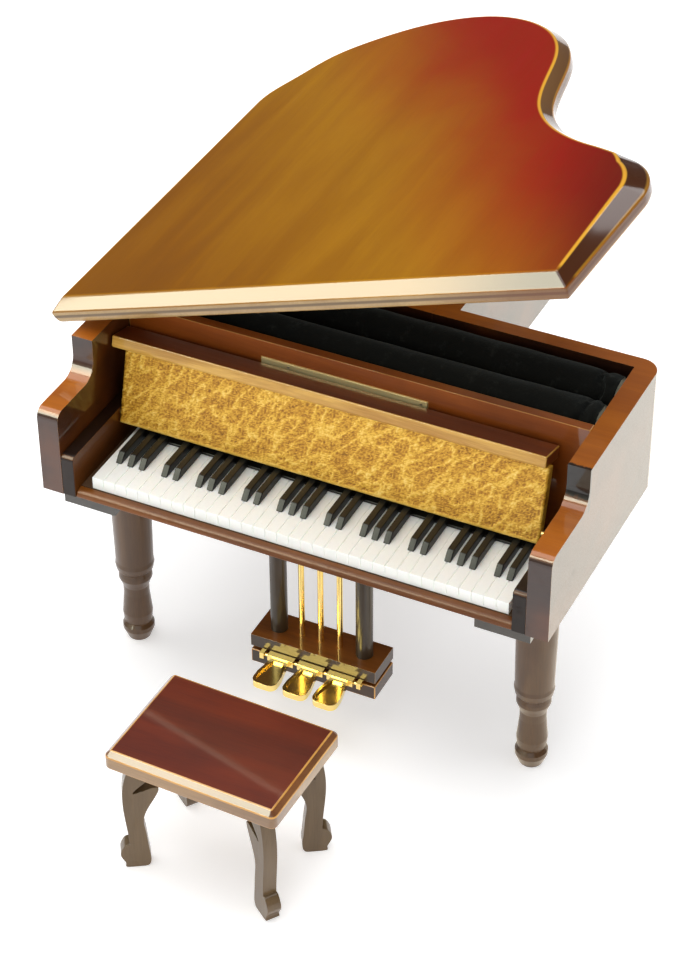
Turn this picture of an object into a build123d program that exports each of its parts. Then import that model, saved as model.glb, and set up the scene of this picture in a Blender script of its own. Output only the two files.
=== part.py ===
"""Miniature grand piano with hinged lid, fold-down fallboard, working pedals and a loose stool.

Axes: +X to the treble side, +Y from the keyboard to the tail, +Z up. The pieces are drawn with the front
of the arms on y = 0, the middle of the case on x = 0 and the floor on z = 0, and are moved at the end so
that the origin is the middle of the footprint of the whole set, on the floor.
"""
from build123d import *
from math import cos, radians, sin
import os

os.makedirs("parts", exist_ok=True)

# ---- overall sizes
CASE_W = 165.0  # over the arms
CASE_D = 84.3  # depth of the wide front box
TAIL_W = 99.8  # outside width of the narrow tail
TAIL_Y = 158.0  # where the round end of the tail starts
CASE_Z = 74.4  # underside of the case above the floor
ARM_Z = 103.9  # top of the low arms at the front
RIM_Z = 116.6  # top of the rim
WALL = 7.05  # side walls
BACK_WALL = 5.2  # back wall of the front box and the divider in line with it
CORNER_R = 6.0  # rear right corner of the front box
RISE_Y = 27.1  # front face of the rise from arm to rim, treble arm
RISE_LEFT_Y = 22.3  # bass arm
COVE_R = 6.0  # hollow between arm and rise
NOSE_R = 3.2  # rounded front of the arm top
FIT = 0.05  # glue gap between wooden pieces

# ---- boards and keyboard
BOARD_T = 2.4  # bottom board
SLIP_D = 3.0  # key slip depth
BLOCK_W = 4.25  # key blocks beside the keys
BLOCK_D = 36.0
BLOCK_Z = 89.2
KEYS_N = 35
KEY_GAP_LEFT = 3.95  # key strip to the left key block
KEY_GAP_RIGHT = 2.4
KEY_Y0 = 3.7
KEY_Y1 = 36.0
KEY_TOP = 80.9
BLACK_TOP = 83.8
BLACK_Y0 = 12.9
BLACK_Y1 = 28.4
BLACK_W = 2.1

# ---- compartment
WELL_Y = 44.3  # front face of the compartment wall
WELL_T = 3.3
STRIP_X0 = -29.9
STRIP_L = 54.5
ROLL_R = 7.5
ROLL_Z = 110.0

# ---- fallboard
LEAN = 14.5  # degrees the open fallboard leans back
FB_Y = 29.3  # pivot
FB_Z = 87.5
FB_T = 3.2
FB_GAP_LEFT = 0.45  # ends of the gilded panel to the key blocks
FB_GAP_RIGHT = 3.35
FB_UP = 21.0  # pivot to the underside of the rail
FB_DOWN = 3.2
RAIL_GAP_LEFT = 0.65  # ends of the rail to the side walls
RAIL_GAP_RIGHT = 8.45
RAIL_T = 3.9
RAIL_D = 10.4
RAIL_LIP = 1.2
PIVOT_R = 0.8
PIN_IN = 2.0  # pivot pin inside the panel

# ---- lid
OPEN = 18.8  # degrees the lid stands open at rest
HINGE_R = 0.75
HINGE_X = -(CASE_W / 2 + 1.5)
HINGE_Z = RIM_Z + HINGE_R
LID_GAP = 0.8  # hinge axis to the underside of the lid
LID_T = 7.2
LID_BEVEL = 3.6
LID_LEFT = -6.8  # from the hinge axis
LID_RIGHT = CASE_W + 3.0
LID_FLARE = 1.4  # the treble side runs this much out at the back and in at the front
LID_FRONT = 26.6
TREBLE_WIDER = 3.8  # extra width of the bevel at the back of the treble side
LEAF_T = 0.5
LEAF_L = 14.0
HINGE_YS = (52.0, 132.0)

# ---- legs and lyre
PLATE_T = 4.4
LEG_INSET = 13.7  # front leg centre in from the side of the case
LEG_Y = 27.3
TAIL_LEG_Y = 176.0
LEG_R = 6.65
DOWEL_R = 2.0
POST_X = 14.6
POST_R = 2.7
LYRE_Y = 22.2
ROD_R = 0.95
ROD_XS = (-6.7, -0.2, 6.3)
BOX_W = 42.6
BOX_Y0 = 15.6
BOX_Y1 = 28.8
BOX_Z0 = 15.5
BOX_Z1 = 26.5
SLOT_Z = 21.3
SLOT_H = 1.5
AXLE_R = 0.5
AXLE_Y = 14.2
PEDAL_XS = (-10.0, 0.2, 10.4)

# ---- stool
STOOL_X = 3.2
STOOL_Y = -48.6
STOOL_YAW = -1.8
SEAT_L = 55.8
SEAT_D = 39.5
SEAT_T = 5.9
SEAT_TOP = 45.9
STOOL_LEG_T = 4.4
STOOL_LEG_ANGLE = 34.0

HALF = CASE_W / 2
INNER = HALF - WALL
TAIL_X = -HALF + TAIL_W
TAIL_CX = -HALF + TAIL_W / 2
TAIL_R = TAIL_W / 2
BACK_Y = CASE_D - BACK_WALL
BLOCK_X = INNER - FIT - BLOCK_W
KEY_X0 = -BLOCK_X + KEY_GAP_LEFT
KEY_PITCH = (2 * BLOCK_X - KEY_GAP_LEFT - KEY_GAP_RIGHT) / KEYS_N
FB_X0 = -BLOCK_X + FB_GAP_LEFT
FB_X1 = BLOCK_X - FB_GAP_RIGHT
RAIL_X0 = -INNER + RAIL_GAP_LEFT
RAIL_X1 = INNER - RAIL_GAP_RIGHT
LEG_X = HALF - LEG_INSET
BOARD_Z = CASE_Z + BOARD_T
PLATE_Z = CASE_Z - PLATE_T
pieces = {}

# Rim: one standing wall around the front box and the round tail, open at the keyboard; its two
# front ends are cut down to low arms with a hollow rise, a little longer on the treble side.
with BuildPart() as rim:
    with BuildSketch(Plane.XY.offset(CASE_Z)):
        with Locations((0, CASE_D / 2)):
            Rectangle(CASE_W, CASE_D)
        with Locations((TAIL_CX, (CASE_D - 1 + TAIL_Y) / 2)):
            Rectangle(TAIL_W, TAIL_Y - CASE_D + 1)
        with Locations((TAIL_CX, TAIL_Y)):
            Circle(TAIL_R)
        with Locations((0, (BACK_Y - 1) / 2)):
            Rectangle(CASE_W - 2 * WALL, BACK_Y + 1, mode=Mode.SUBTRACT)
        with Locations((TAIL_CX, (BACK_Y - 1 + TAIL_Y) / 2)):
            Rectangle(TAIL_W - 2 * WALL, TAIL_Y - BACK_Y + 1, mode=Mode.SUBTRACT)
        with Locations((TAIL_CX, TAIL_Y)):
            Circle(TAIL_R - WALL, mode=Mode.SUBTRACT)
    extrude(amount=RIM_Z - CASE_Z)
    corner = rim.edges().filter_by(Axis.Z).filter_by_position(Axis.X, HALF - 0.1, HALF + 0.1)
    fillet(corner.sort_by(Axis.Y)[-1:], CORNER_R)
    for side, rise in ((-1, RISE_LEFT_Y), (1, RISE_Y)):
        with BuildSketch(Plane.YZ):
            with BuildLine():
                Line((NOSE_R, ARM_Z), (rise - COVE_R, ARM_Z))
                RadiusArc((rise - COVE_R, ARM_Z), (rise, ARM_Z + COVE_R), -COVE_R)
                Polyline(
                    (rise, ARM_Z + COVE_R),
                    (rise, RIM_Z + 2),
                    (-2, RIM_Z + 2),
                    (-2, ARM_Z - NOSE_R),
                    (0, ARM_Z - NOSE_R),
                )
                RadiusArc((0, ARM_Z - NOSE_R), (NOSE_R, ARM_Z), NOSE_R)
            make_face()
        extrude(amount=side * (HALF + 5), mode=Mode.SUBTRACT)
    for y in HINGE_YS:
        with Locations((HINGE_X + 5, y - 4, RIM_Z), (HINGE_X + 5, y + 4, RIM_Z)):
            Hole(0.42, depth=4.05)
pieces["rim"] = rim

# Bottom board, let in flush between the walls; it carries the keys, the legs and the lyre.
with BuildPart() as bottom_board:
    with BuildSketch(Plane.XY.offset(CASE_Z)):
        with Locations((0, (SLIP_D + 0.5 + BACK_Y) / 2)):
            Rectangle(2 * (BLOCK_X - FIT), BACK_Y - SLIP_D - 0.5)
        with Locations((0, (BLOCK_D + 0.1 + BACK_Y) / 2)):
            Rectangle(2 * (INNER - FIT), BACK_Y - BLOCK_D - 0.1)
        with Locations((TAIL_CX, (BACK_Y - 1 + TAIL_Y) / 2)):
            Rectangle(TAIL_W - 2 * (WALL + FIT), TAIL_Y - BACK_Y + 1)
        with Locations((TAIL_CX, TAIL_Y)):
            Circle(TAIL_R - WALL - FIT)
    extrude(amount=BOARD_T)
    with BuildSketch(Plane.XY.offset(CASE_Z)):
        for x in ROD_XS:
            with Locations((x, LYRE_Y)):
                Circle(ROD_R + 0.02)
    extrude(amount=1.5, mode=Mode.SUBTRACT)
    with BuildSketch(Plane.XY.offset(CASE_Z)):
        for side in (-1, 1):
            with Locations((side * (LEG_X - 5), LEG_Y - 18), (side * (LEG_X - 5), LEG_Y + 9.5)):
                Circle(0.62)
        with Locations((TAIL_CX, TAIL_LEG_Y - 14), (TAIL_CX, TAIL_LEG_Y + 14)):
            Circle(0.62)
    extrude(amount=1.9, mode=Mode.SUBTRACT)
pieces["bottom_board"] = bottom_board

# Key slip: rounded moulding in front of the keys, between the key blocks.
with BuildPart() as key_slip:
    with BuildSketch(Plane.XY.offset(CASE_Z)):
        with Locations((0, 0.4 + SLIP_D / 2)):
            Rectangle(2 * (BLOCK_X - FIT), SLIP_D)
    extrude(amount=BOARD_T)
    top_front = key_slip.faces().sort_by(Axis.Z)[-1].edges().sort_by(Axis.Y)[0]
    fillet(top_front, 1.6)
pieces["key_slip"] = key_slip

# Key blocks: wooden cheeks glued inside the arms, drilled for the fallboard pins.
for side, name in ((-1, "key_block_left"), (1, "key_block_right")):
    with BuildPart() as block:
        with BuildSketch(Plane.XY.offset(CASE_Z)):
            with Locations((side * (BLOCK_X + BLOCK_W / 2), BLOCK_D / 2)):
                Rectangle(BLOCK_W, BLOCK_D)
        extrude(amount=BLOCK_Z - CASE_Z)
        fillet(block.faces().sort_by(Axis.Z)[-1].edges().sort_by(Axis.Y)[0], 1.8)
        with BuildSketch(Plane.YZ.offset(side * BLOCK_X)):
            with Locations((FB_Y, FB_Z)):
                Circle(PIVOT_R + 0.06)
        extrude(amount=side * 2.4, mode=Mode.SUBTRACT)
    pieces[name] = block

# Front wall of the velvet compartment, across the case behind the fallboard.
with BuildPart() as compartment_wall:
    with BuildSketch(Plane.XY.offset(BOARD_Z)):
        with Locations((0, WELL_Y + WELL_T / 2)):
            Rectangle(2 * (INNER - FIT), WELL_T)
    extrude(amount=RIM_Z - BOARD_Z)
    with BuildSketch(Plane.XZ.offset(-WELL_Y)):
        with Locations((STRIP_X0 + STRIP_L / 2, 109.6)):
            Rectangle(STRIP_L + 0.1, 2.4)
    extrude(amount=-0.5, mode=Mode.SUBTRACT)
pieces["compartment_wall"] = compartment_wall

# Brass strip let into the front of that wall, held by two small pins.
with BuildPart() as brass_strip:
    with BuildSketch(Plane.XZ.offset(-WELL_Y - 0.5)):
        with Locations((STRIP_X0 + STRIP_L / 2, 109.6)):
            Rectangle(STRIP_L, 2.3)
            with Locations((-STRIP_L / 2 + 9.0, 0), (STRIP_L / 2 - 2.0, 0)):
                Circle(0.42, mode=Mode.SUBTRACT)
    extrude(amount=0.8)
pieces["brass_strip"] = brass_strip
with BuildPart() as strip_pins:
    with BuildSketch(Plane.XZ.offset(-WELL_Y - 0.5)):
        with Locations((STRIP_X0 + 9.0, 109.6), (STRIP_X0 + STRIP_L - 2.0, 109.6)):
            Circle(0.4)
    extrude(amount=0.95)
pieces["strip_pins"] = strip_pins

# Divider between the compartment and the tail, in line with the back wall.
with BuildPart() as divider:
    with BuildSketch(Plane.XY.offset(BOARD_Z)):
        with Locations(((TAIL_X - WALL - INNER) / 2, BACK_Y + BACK_WALL / 2)):
            Rectangle(TAIL_X - WALL + INNER - 2 * FIT, BACK_WALL)
    extrude(amount=RIM_Z - BOARD_Z)
pieces["divider"] = divider

# Tray board under the velvet rolls, on a support block at each end.
tray_y0 = WELL_Y + WELL_T + FIT
tray_y1 = BACK_Y - FIT
with BuildPart() as tray_board:
    with BuildSketch(Plane.XY.offset(ROLL_Z - ROLL_R - 2.3)):
        with Locations((0, (tray_y0 + tray_y1) / 2)):
            Rectangle(2 * (INNER - FIT), tray_y1 - tray_y0)
    extrude(amount=2.0)
pieces["tray_board"] = tray_board
for side, name in ((-1, "tray_support_left"), (1, "tray_support_right")):
    with BuildPart() as support:
        with BuildSketch(Plane.XY.offset(BOARD_Z)):
            with Locations((side * (INNER - FIT - 2.5), (tray_y0 + tray_y1) / 2)):
                Rectangle(5.0, tray_y1 - tray_y0)
        extrude(amount=ROLL_Z - ROLL_R - 2.3 - BOARD_Z)
    pieces[name] = support

# Two velvet ring rolls lying side by side across the compartment.
roll_gap = (tray_y1 - tray_y0 - 4 * ROLL_R) / 3
for step, name in ((0, "ring_roll_front"), (1, "ring_roll_rear")):
    with BuildPart() as roll:
        with BuildSketch(Plane.YZ.offset(-INNER + 0.5)):
            with Locations((tray_y0 + roll_gap + ROLL_R + step * (2 * ROLL_R + roll_gap), ROLL_Z)):
                Circle(ROLL_R)
        extrude(amount=2 * INNER - 1.0)
    pieces[name] = roll

# Velvet sheet on the floor of the tail.
with BuildPart() as tail_lining:
    with BuildSketch(Plane.XY.offset(BOARD_Z)):
        with Locations((TAIL_CX, (CASE_D + 0.5 + TAIL_Y) / 2)):
            Rectangle(TAIL_W - 2 * WALL - 1.0, TAIL_Y - CASE_D - 0.5)
        with Locations((TAIL_CX, TAIL_Y)):
            Circle(TAIL_R - WALL - 0.5)
        with Locations((TAIL_CX, CASE_D + 0.5 - 50)):
            Rectangle(TAIL_W, 100, mode=Mode.SUBTRACT)
    extrude(amount=0.8)
pieces["tail_lining"] = tail_lining

# White keys: one moulded strip, grooved between the keys over the top and down the front.
keys_w = KEYS_N * KEY_PITCH
with BuildPart() as white_keys:
    with BuildSketch(Plane.XY.offset(BOARD_Z)):
        with Locations((KEY_X0 + keys_w / 2, (KEY_Y0 + KEY_Y1) / 2)):
            Rectangle(keys_w, KEY_Y1 - KEY_Y0)
    extrude(amount=KEY_TOP - BOARD_Z)
    with BuildSketch(Plane.YZ.offset(KEY_X0)):
        with BuildLine():
            Polyline(
                (KEY_Y0 - 1, BOARD_Z + 0.6),
                (KEY_Y0 + 0.45, BOARD_Z + 0.6),
                (KEY_Y0 + 0.45, KEY_TOP - 0.45),
                (KEY_Y1 - 6, KEY_TOP - 0.45),
                (KEY_Y1 - 6, KEY_TOP + 1),
                (KEY_Y0 - 1, KEY_TOP + 1),
                close=True,
            )
        make_face()
    grooves = extrude(amount=0.28, mode=Mode.PRIVATE)
    with Locations([((i + 1) * KEY_PITCH - 0.14, 0, 0) for i in range(KEYS_N - 1)]):
        add(grooves, mode=Mode.SUBTRACT)
pieces["white_keys"] = white_keys

# Black keys: one moulded comb, its back strip hidden under the fallboard.
BLACKS = [i for i in range(KEYS_N - 1) if (i % 7) not in (3, 6)]
with BuildPart() as black_keys:
    with BuildSketch(Plane.XY.offset(KEY_TOP)):
        with Locations((KEY_X0 + keys_w / 2, (BLACK_Y1 - 0.5 + KEY_Y1 - 0.3) / 2)):
            Rectangle(keys_w - 2 * KEY_PITCH + BLACK_W + 2, KEY_Y1 - BLACK_Y1 + 0.2)
    extrude(amount=0.9)
    with BuildSketch(Plane.YZ.offset(KEY_X0 - BLACK_W / 2)):
        with BuildLine():
            Polyline(
                (BLACK_Y0, KEY_TOP),
                (BLACK_Y0 + 2.6, BLACK_TOP),
                (BLACK_Y1, BLACK_TOP),
                (BLACK_Y1, KEY_TOP),
                close=True,
            )
        make_face()
    finger = extrude(amount=BLACK_W, mode=Mode.PRIVATE)
    with Locations([((i + 1) * KEY_PITCH, 0, 0) for i in BLACKS]):
        add(finger)
pieces["black_keys"] = black_keys

# Fallboard: gilded panel with a wooden rail along its top edge, turning on two brass pins.
PANEL = Plane(
    origin=(0, FB_Y, FB_Z),
    x_dir=(1, 0, 0),
    z_dir=(0, -cos(radians(LEAN)), sin(radians(LEAN))),
)
with BuildPart() as fallboard_panel:
    with BuildSketch(PANEL.offset(-FB_T / 2)):
        with Locations(((FB_X0 + FB_X1) / 2, (FB_UP - FB_DOWN) / 2)):
            Rectangle(FB_X1 - FB_X0, FB_UP + FB_DOWN)
    extrude(amount=FB_T)
    for side, end in ((-1, FB_X0), (1, FB_X1)):
        with BuildSketch(Plane.YZ.offset(end - side * PIN_IN)):
            with Locations((FB_Y, FB_Z)):
                Circle(PIVOT_R)
        extrude(amount=side * (PIN_IN + 1), mode=Mode.SUBTRACT)
pieces["fallboard_panel"] = fallboard_panel
with BuildPart() as fallboard_rail:
    with BuildSketch(PANEL.offset(FB_T / 2 + RAIL_LIP - RAIL_D)):
        with Locations(((RAIL_X0 + RAIL_X1) / 2, FB_UP + RAIL_T / 2)):
            Rectangle(RAIL_X1 - RAIL_X0, RAIL_T)
    extrude(amount=RAIL_D)
    chamfer(fallboard_rail.edges().filter_by(Axis.X).sort_by(Axis.Y)[0], 0.5)
pieces["fallboard_rail"] = fallboard_rail
for side, end, name in ((-1, FB_X0, "fallboard_pin_left"), (1, FB_X1, "fallboard_pin_right")):
    with BuildPart() as pin:
        with BuildSketch(Plane.YZ.offset(end - side * PIN_IN)):
            with Locations((FB_Y, FB_Z)):
                Circle(PIVOT_R)
        extrude(amount=side * (PIN_IN + BLOCK_X + 2.2) - end)
    pieces[name] = pin

# Lid: one thick board in the harp shape of a grand, bevelled all round, standing open on its hinges.
LID = Plane(
    origin=(HINGE_X, 0, HINGE_Z),
    x_dir=(cos(radians(OPEN)), 0, sin(radians(OPEN))),
    z_dir=(-sin(radians(OPEN)), 0, cos(radians(OPEN))),
)
LID_AXIS = Axis((HINGE_X, 0, HINGE_Z), LID.z_dir)
OUTLINE_D = 84.3  # case depth and tail start that the outline's points below are given for
OUTLINE_TAIL = 158.0
SHOULDER_Y = 100.6
WAIST_Y = 173.5  # the outline follows the tail from here back, the front box up to the shoulder
tail_dy = TAIL_Y - OUTLINE_TAIL
wide_dy = CASE_D - OUTLINE_D


def shifted(points):
    """The points moved with the case, those along the waist by a share of both shifts."""
    moved = []
    for x, y in points:
        share = min(1.0, max(0.0, (y - SHOULDER_Y) / (WAIST_Y - SHOULDER_Y)))
        moved.append((x, y + wide_dy + share * (tail_dy - wide_dy)))
    return moved


SLOPE = 35
curve = shifted(
    [
        (LID_LEFT, 158),
        (LID_LEFT + 6.5, 178.1),
        (LID_LEFT + 13.3, 192),
        (LID_LEFT + 26.2, 204),
        (LID_LEFT + 40.7, 211.8),
        (LID_LEFT + 53.9, 214.9),
        (LID_RIGHT - 104, 213.8),
        (LID_RIGHT - 85.8, 205.6),
        (LID_RIGHT - 75.5, 197),
        (LID_RIGHT - 67.6, 186.5),
        (LID_RIGHT - 62, 173.5),
        (LID_RIGHT - 59.2, 161.5),
        (LID_RIGHT - 56.6, 149.5),
        (LID_RIGHT - 52.7, 138.1),
        (LID_RIGHT - 47.1, 128.8),
        (LID_RIGHT - 40.8, 121.5),
        (LID_RIGHT - 29.6, 112.4),
        (LID_RIGHT - 10.8, SHOULDER_Y),
    ]
)
shoulder = curve[-1]  # the treble corner is one arc from here to the side
with BuildLine() as harp:
    Spline(*curve, tangents=((0, 1), (cos(radians(SLOPE)), -sin(radians(SLOPE)))))
steps = 56
outline = [(p.X, p.Y) for p in (harp.line @ (i / steps) for i in range(steps + 1))]
side_x = LID_RIGHT + LID_FLARE
arc_r = (side_x - shoulder[0]) / (1 - sin(radians(SLOPE)))
arc_y = shoulder[1] - arc_r * cos(radians(SLOPE))
for i in range(1, 9):
    turn = radians((90 - SLOPE) * (1 - i / 8))
    outline.append((side_x - arc_r + arc_r * cos(turn), arc_y + arc_r * sin(turn)))
outline += [(LID_RIGHT - LID_FLARE, LID_FRONT), (LID_LEFT, LID_FRONT)]


def inset(points, d):
    """The closed outline moved in by d, corner by corner (the outline runs clockwise)."""
    moved = []
    for k, p in enumerate(points):
        a = Vector(p) - Vector(points[k - 1])
        b = Vector(points[(k + 1) % len(points)]) - Vector(p)
        na = Vector(a.Y, -a.X).normalized()
        nb = Vector(b.Y, -b.X).normalized()
        m = na + nb
        m = m * (2 * d / m.length**2)
        moved.append((p[0] + m.X, p[1] + m.Y))
    return moved


# the bevel widens along the treble side, from the front corner to the shoulder
top_edge = []
for x, y in inset(outline, LID_BEVEL):
    treble = min(1.0, max(0.0, (x - shoulder[0] + 3) / 8))
    top_edge.append((x - treble * TREBLE_WIDER * (y - LID_FRONT) / (shoulder[1] - LID_FRONT), y))

with BuildPart() as lid:
    with BuildSketch(LID.offset(LID_GAP)):
        with BuildLine():
            Polyline(*outline, close=True)
        make_face()
    extrude(amount=LID_T - LID_BEVEL)
    with BuildSketch(LID.offset(LID_GAP + LID_T - LID_BEVEL)):
        with BuildLine():
            Polyline(*outline, close=True)
        make_face()
    with BuildSketch(LID.offset(LID_GAP + LID_T)):
        with BuildLine():
            Polyline(*top_edge, close=True)
        make_face()
    loft(ruled=True)
    with BuildSketch(LID.offset(LID_GAP)):
        for y in HINGE_YS:
            with Locations((5, y - 4), (5, y + 4)):
                Circle(0.42)
    extrude(amount=4.05, mode=Mode.SUBTRACT)
pieces["lid"] = lid

# Two brass butt hinges: a leaf on the rim, a leaf under the lid and a pin through the knuckles.
KNUCKLE = LEAF_L / 3
for y, end in zip(HINGE_YS, ("front", "rear")):
    with BuildPart() as case_leaf:
        with BuildSketch(Plane.XY.offset(RIM_Z)):
            with Locations((HINGE_X + 4.6, y)):
                Rectangle(6.4, LEAF_L)
            for sgn in (-1, 1):
                with Locations((HINGE_X + 1, y + sgn * KNUCKLE)):
                    Rectangle(2, KNUCKLE - 0.2)
        extrude(amount=LEAF_T)
        for sgn in (-1, 1):
            with BuildSketch(Plane.XZ.offset(-(y + sgn * KNUCKLE))):
                with Locations((HINGE_X, HINGE_Z)):
                    Circle(HINGE_R)
            extrude(amount=(KNUCKLE - 0.2) / 2, both=True)
        with BuildSketch(Plane.XZ.offset(-y)):
            with Locations((HINGE_X, HINGE_Z)):
                Circle(0.35)
        extrude(amount=LEAF_L, both=True, mode=Mode.SUBTRACT)
        with Locations((HINGE_X + 5, y - 4, RIM_Z + LEAF_T), (HINGE_X + 5, y + 4, RIM_Z + LEAF_T)):
            Hole(0.9)
    pieces["hinge_case_leaf_" + end] = case_leaf
    with BuildPart() as lid_leaf:
        with BuildSketch(LID.offset(LID_GAP - LEAF_T)):
            with Locations((4.6, y)):
                Rectangle(6.4, LEAF_L)
            with Locations((1, y)):
                Rectangle(2, KNUCKLE - 0.2)
        extrude(amount=LEAF_T)
        with BuildSketch(Plane.XZ.offset(-y)):
            with Locations((HINGE_X, HINGE_Z)):
                Circle(HINGE_R)
        extrude(amount=(KNUCKLE - 0.2) / 2, both=True)
        with BuildSketch(Plane.XZ.offset(-y)):
            with Locations((HINGE_X, HINGE_Z)):
                Circle(0.4)
        extrude(amount=LEAF_L, both=True, mode=Mode.SUBTRACT)
        with BuildSketch(LID):
            with Locations((5, y - 4), (5, y + 4)):
                Circle(0.9)
        extrude(amount=LID_GAP, mode=Mode.SUBTRACT)
    pieces["hinge_lid_leaf_" + end] = lid_leaf
    with BuildPart() as pin:
        with BuildSketch(Plane.XZ.offset(-y)):
            with Locations((HINGE_X, HINGE_Z)):
                Circle(0.35)
        extrude(amount=LEAF_L / 2, both=True)
    pieces["hinge_pin_" + end] = pin

# Leaf screws: a flat head in the leaf and a shank in the wood.
with BuildPart() as case_leaf_screws:
    for y in HINGE_YS:
        for dy in (-4, 4):
            with Locations((HINGE_X + 5, y + dy, RIM_Z)):
                Cylinder(0.4, 4.0, align=(Align.CENTER, Align.CENTER, Align.MAX))
                Cylinder(0.88, LEAF_T, align=(Align.CENTER, Align.CENTER, Align.MIN))
pieces["case_leaf_screws"] = case_leaf_screws
with BuildPart() as lid_leaf_screws:
    for y in HINGE_YS:
        for dy in (-4, 4):
            with BuildSketch(LID.offset(LID_GAP)):
                with Locations((5, y + dy)):
                    Circle(0.4)
            extrude(amount=4.0)
            with BuildSketch(LID.offset(LID_GAP - LEAF_T)):
                with Locations((5, y + dy)):
                    Circle(0.88)
            extrude(amount=LEAF_T)
pieces["lid_leaf_screws"] = lid_leaf_screws

# Leg plates screwed under the case, each drilled for a leg dowel.
LEGS = {
    "left": (-LEG_X, LEG_Y, (-LEG_X + 1.1, 20.0), (17.4, 36.0)),
    "right": (LEG_X, LEG_Y, (LEG_X - 1.1, 20.0), (17.4, 36.0)),
    "rear": (TAIL_CX, TAIL_LEG_Y, (TAIL_CX, TAIL_LEG_Y), (22.0, 36.0)),
}
SCREWS = [
    (-LEG_X + 5, LEG_Y - 18),
    (-LEG_X + 5, LEG_Y + 9.5),
    (LEG_X - 5, LEG_Y - 18),
    (LEG_X - 5, LEG_Y + 9.5),
    (TAIL_CX, TAIL_LEG_Y - 14),
    (TAIL_CX, TAIL_LEG_Y + 14),
]
for where, (lx, ly, centre, size) in LEGS.items():
    with BuildPart() as plate:
        with BuildSketch(Plane.XY.offset(PLATE_Z)):
            with Locations(centre):
                Rectangle(*size)
            with Locations((lx, ly)):
                Circle(DOWEL_R + 0.02, mode=Mode.SUBTRACT)
            for spot in SCREWS:
                if abs(spot[0] - lx) < 8 and abs(spot[1] - ly) < 20:
                    with Locations(spot):
                        Circle(0.62, mode=Mode.SUBTRACT)
        extrude(amount=PLATE_T)
        with BuildSketch(Plane.XY.offset(PLATE_Z)):
            for spot in SCREWS:
                if abs(spot[0] - lx) < 8 and abs(spot[1] - ly) < 20:
                    with Locations(spot):
                        Circle(1.32)
        extrude(amount=0.9, mode=Mode.SUBTRACT)
    pieces["leg_plate_" + where] = plate

with BuildPart() as leg_plate_screws:
    for spot in SCREWS:
        with Locations((spot[0], spot[1], PLATE_Z)):
            Cylinder(0.6, PLATE_T + 1.8, align=(Align.CENTER, Align.CENTER, Align.MIN))
            Cylinder(1.3, 0.88, align=(Align.CENTER, Align.CENTER, Align.MIN))
pieces["leg_plate_screws"] = leg_plate_screws

# Three turned legs: a plain taper, two beads, a waist, a bulb and a small foot.
PROFILE = [
    (LEG_R, PLATE_Z),
    (6.05, 32.0),
    (6.25, 30.6),
    (5.9, 28.6),
    (4.95, 27.4),
    (5.35, 26.0),
    (5.4, 24.8),
    (4.7, 23.0),
    (4.2, 21.4),
    (4.15, 18.2),
    (4.5, 14.0),
    (4.85, 10.4),
    (4.6, 7.6),
    (4.25, 6.4),
    (5.1, 5.2),
    (5.1, 3.6),
    (3.7, 0.0),
]
for where, (lx, ly, centre, size) in LEGS.items():
    with BuildPart() as leg:
        upright = Plane(origin=(lx, ly, 0), x_dir=(1, 0, 0), z_dir=(0, -1, 0))
        with BuildSketch(upright):
            with BuildLine():
                Polyline(*PROFILE, (0, 0), (0, PLATE_Z), close=True)
            make_face()
        revolve(axis=Axis((lx, ly, 0), (0, 0, 1)))
        with BuildSketch(Plane.XY.offset(PLATE_Z)):
            with Locations((lx, ly)):
                Circle(DOWEL_R + 0.02)
        extrude(amount=-10.1, mode=Mode.SUBTRACT)
    pieces["leg_" + where] = leg
    with BuildPart() as dowel:
        with BuildSketch(Plane.XY.offset(PLATE_Z - 10)):
            with Locations((lx, ly)):
                Circle(DOWEL_R)
        extrude(amount=10 + PLATE_T - 0.1)
    pieces["leg_dowel_" + where] = dowel

# Lyre: two round posts and three brass rods between the case and the pedal box.
for side, name in ((-1, "lyre_post_left"), (1, "lyre_post_right")):
    with BuildPart() as post:
        with BuildSketch(Plane.XY.offset(BOX_Z1 - 1.5)):
            with Locations((side * POST_X, LYRE_Y)):
                Circle(POST_R)
        extrude(amount=CASE_Z - BOX_Z1 + 1.5)
    pieces[name] = post
for x, name in zip(ROD_XS, ("pedal_rod_left", "pedal_rod_middle", "pedal_rod_right")):
    with BuildPart() as rod:
        with BuildSketch(Plane.XY.offset(BOX_Z1 - 2)):
            with Locations((x, LYRE_Y)):
                Circle(ROD_R)
        extrude(amount=CASE_Z + 1.45 - BOX_Z1 + 2)
    pieces[name] = rod

# Pedal box: two boards with a narrow slot left between them along the front and the ends.
box_cy = (BOX_Y0 + BOX_Y1) / 2
box_d = BOX_Y1 - BOX_Y0
with BuildPart() as pedal_box_upper:
    with BuildSketch(Plane.XY.offset(SLOT_Z + SLOT_H / 2)):
        with Locations((0, box_cy)):
            Rectangle(BOX_W, box_d)
    extrude(amount=BOX_Z1 - SLOT_Z - SLOT_H / 2)
    with BuildSketch(Plane.XY.offset(BOX_Z1)):
        with Locations((-POST_X, LYRE_Y), (POST_X, LYRE_Y)):
            Circle(POST_R + 0.02)
    extrude(amount=-1.5, mode=Mode.SUBTRACT)
    with BuildSketch(Plane.XY.offset(BOX_Z1)):
        for x in ROD_XS:
            with Locations((x, LYRE_Y)):
                Circle(ROD_R + 0.02)
    extrude(amount=-2.0, mode=Mode.SUBTRACT)
pieces["pedal_box_upper"] = pedal_box_upper
with BuildPart() as pedal_box_lower:
    with BuildSketch(Plane.XY.offset(BOX_Z0)):
        with Locations((0, box_cy)):
            Rectangle(BOX_W, box_d)
    extrude(amount=SLOT_Z - SLOT_H / 2 - BOX_Z0)
    with BuildSketch(Plane.XY.offset(SLOT_Z - SLOT_H / 2)):
        with Locations((0, (BOX_Y0 + 3.5 + BOX_Y1) / 2)):
            Rectangle(BOX_W - 5.0, box_d - 3.5)
    extrude(amount=SLOT_H)
pieces["pedal_box_lower"] = pedal_box_lower

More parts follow.
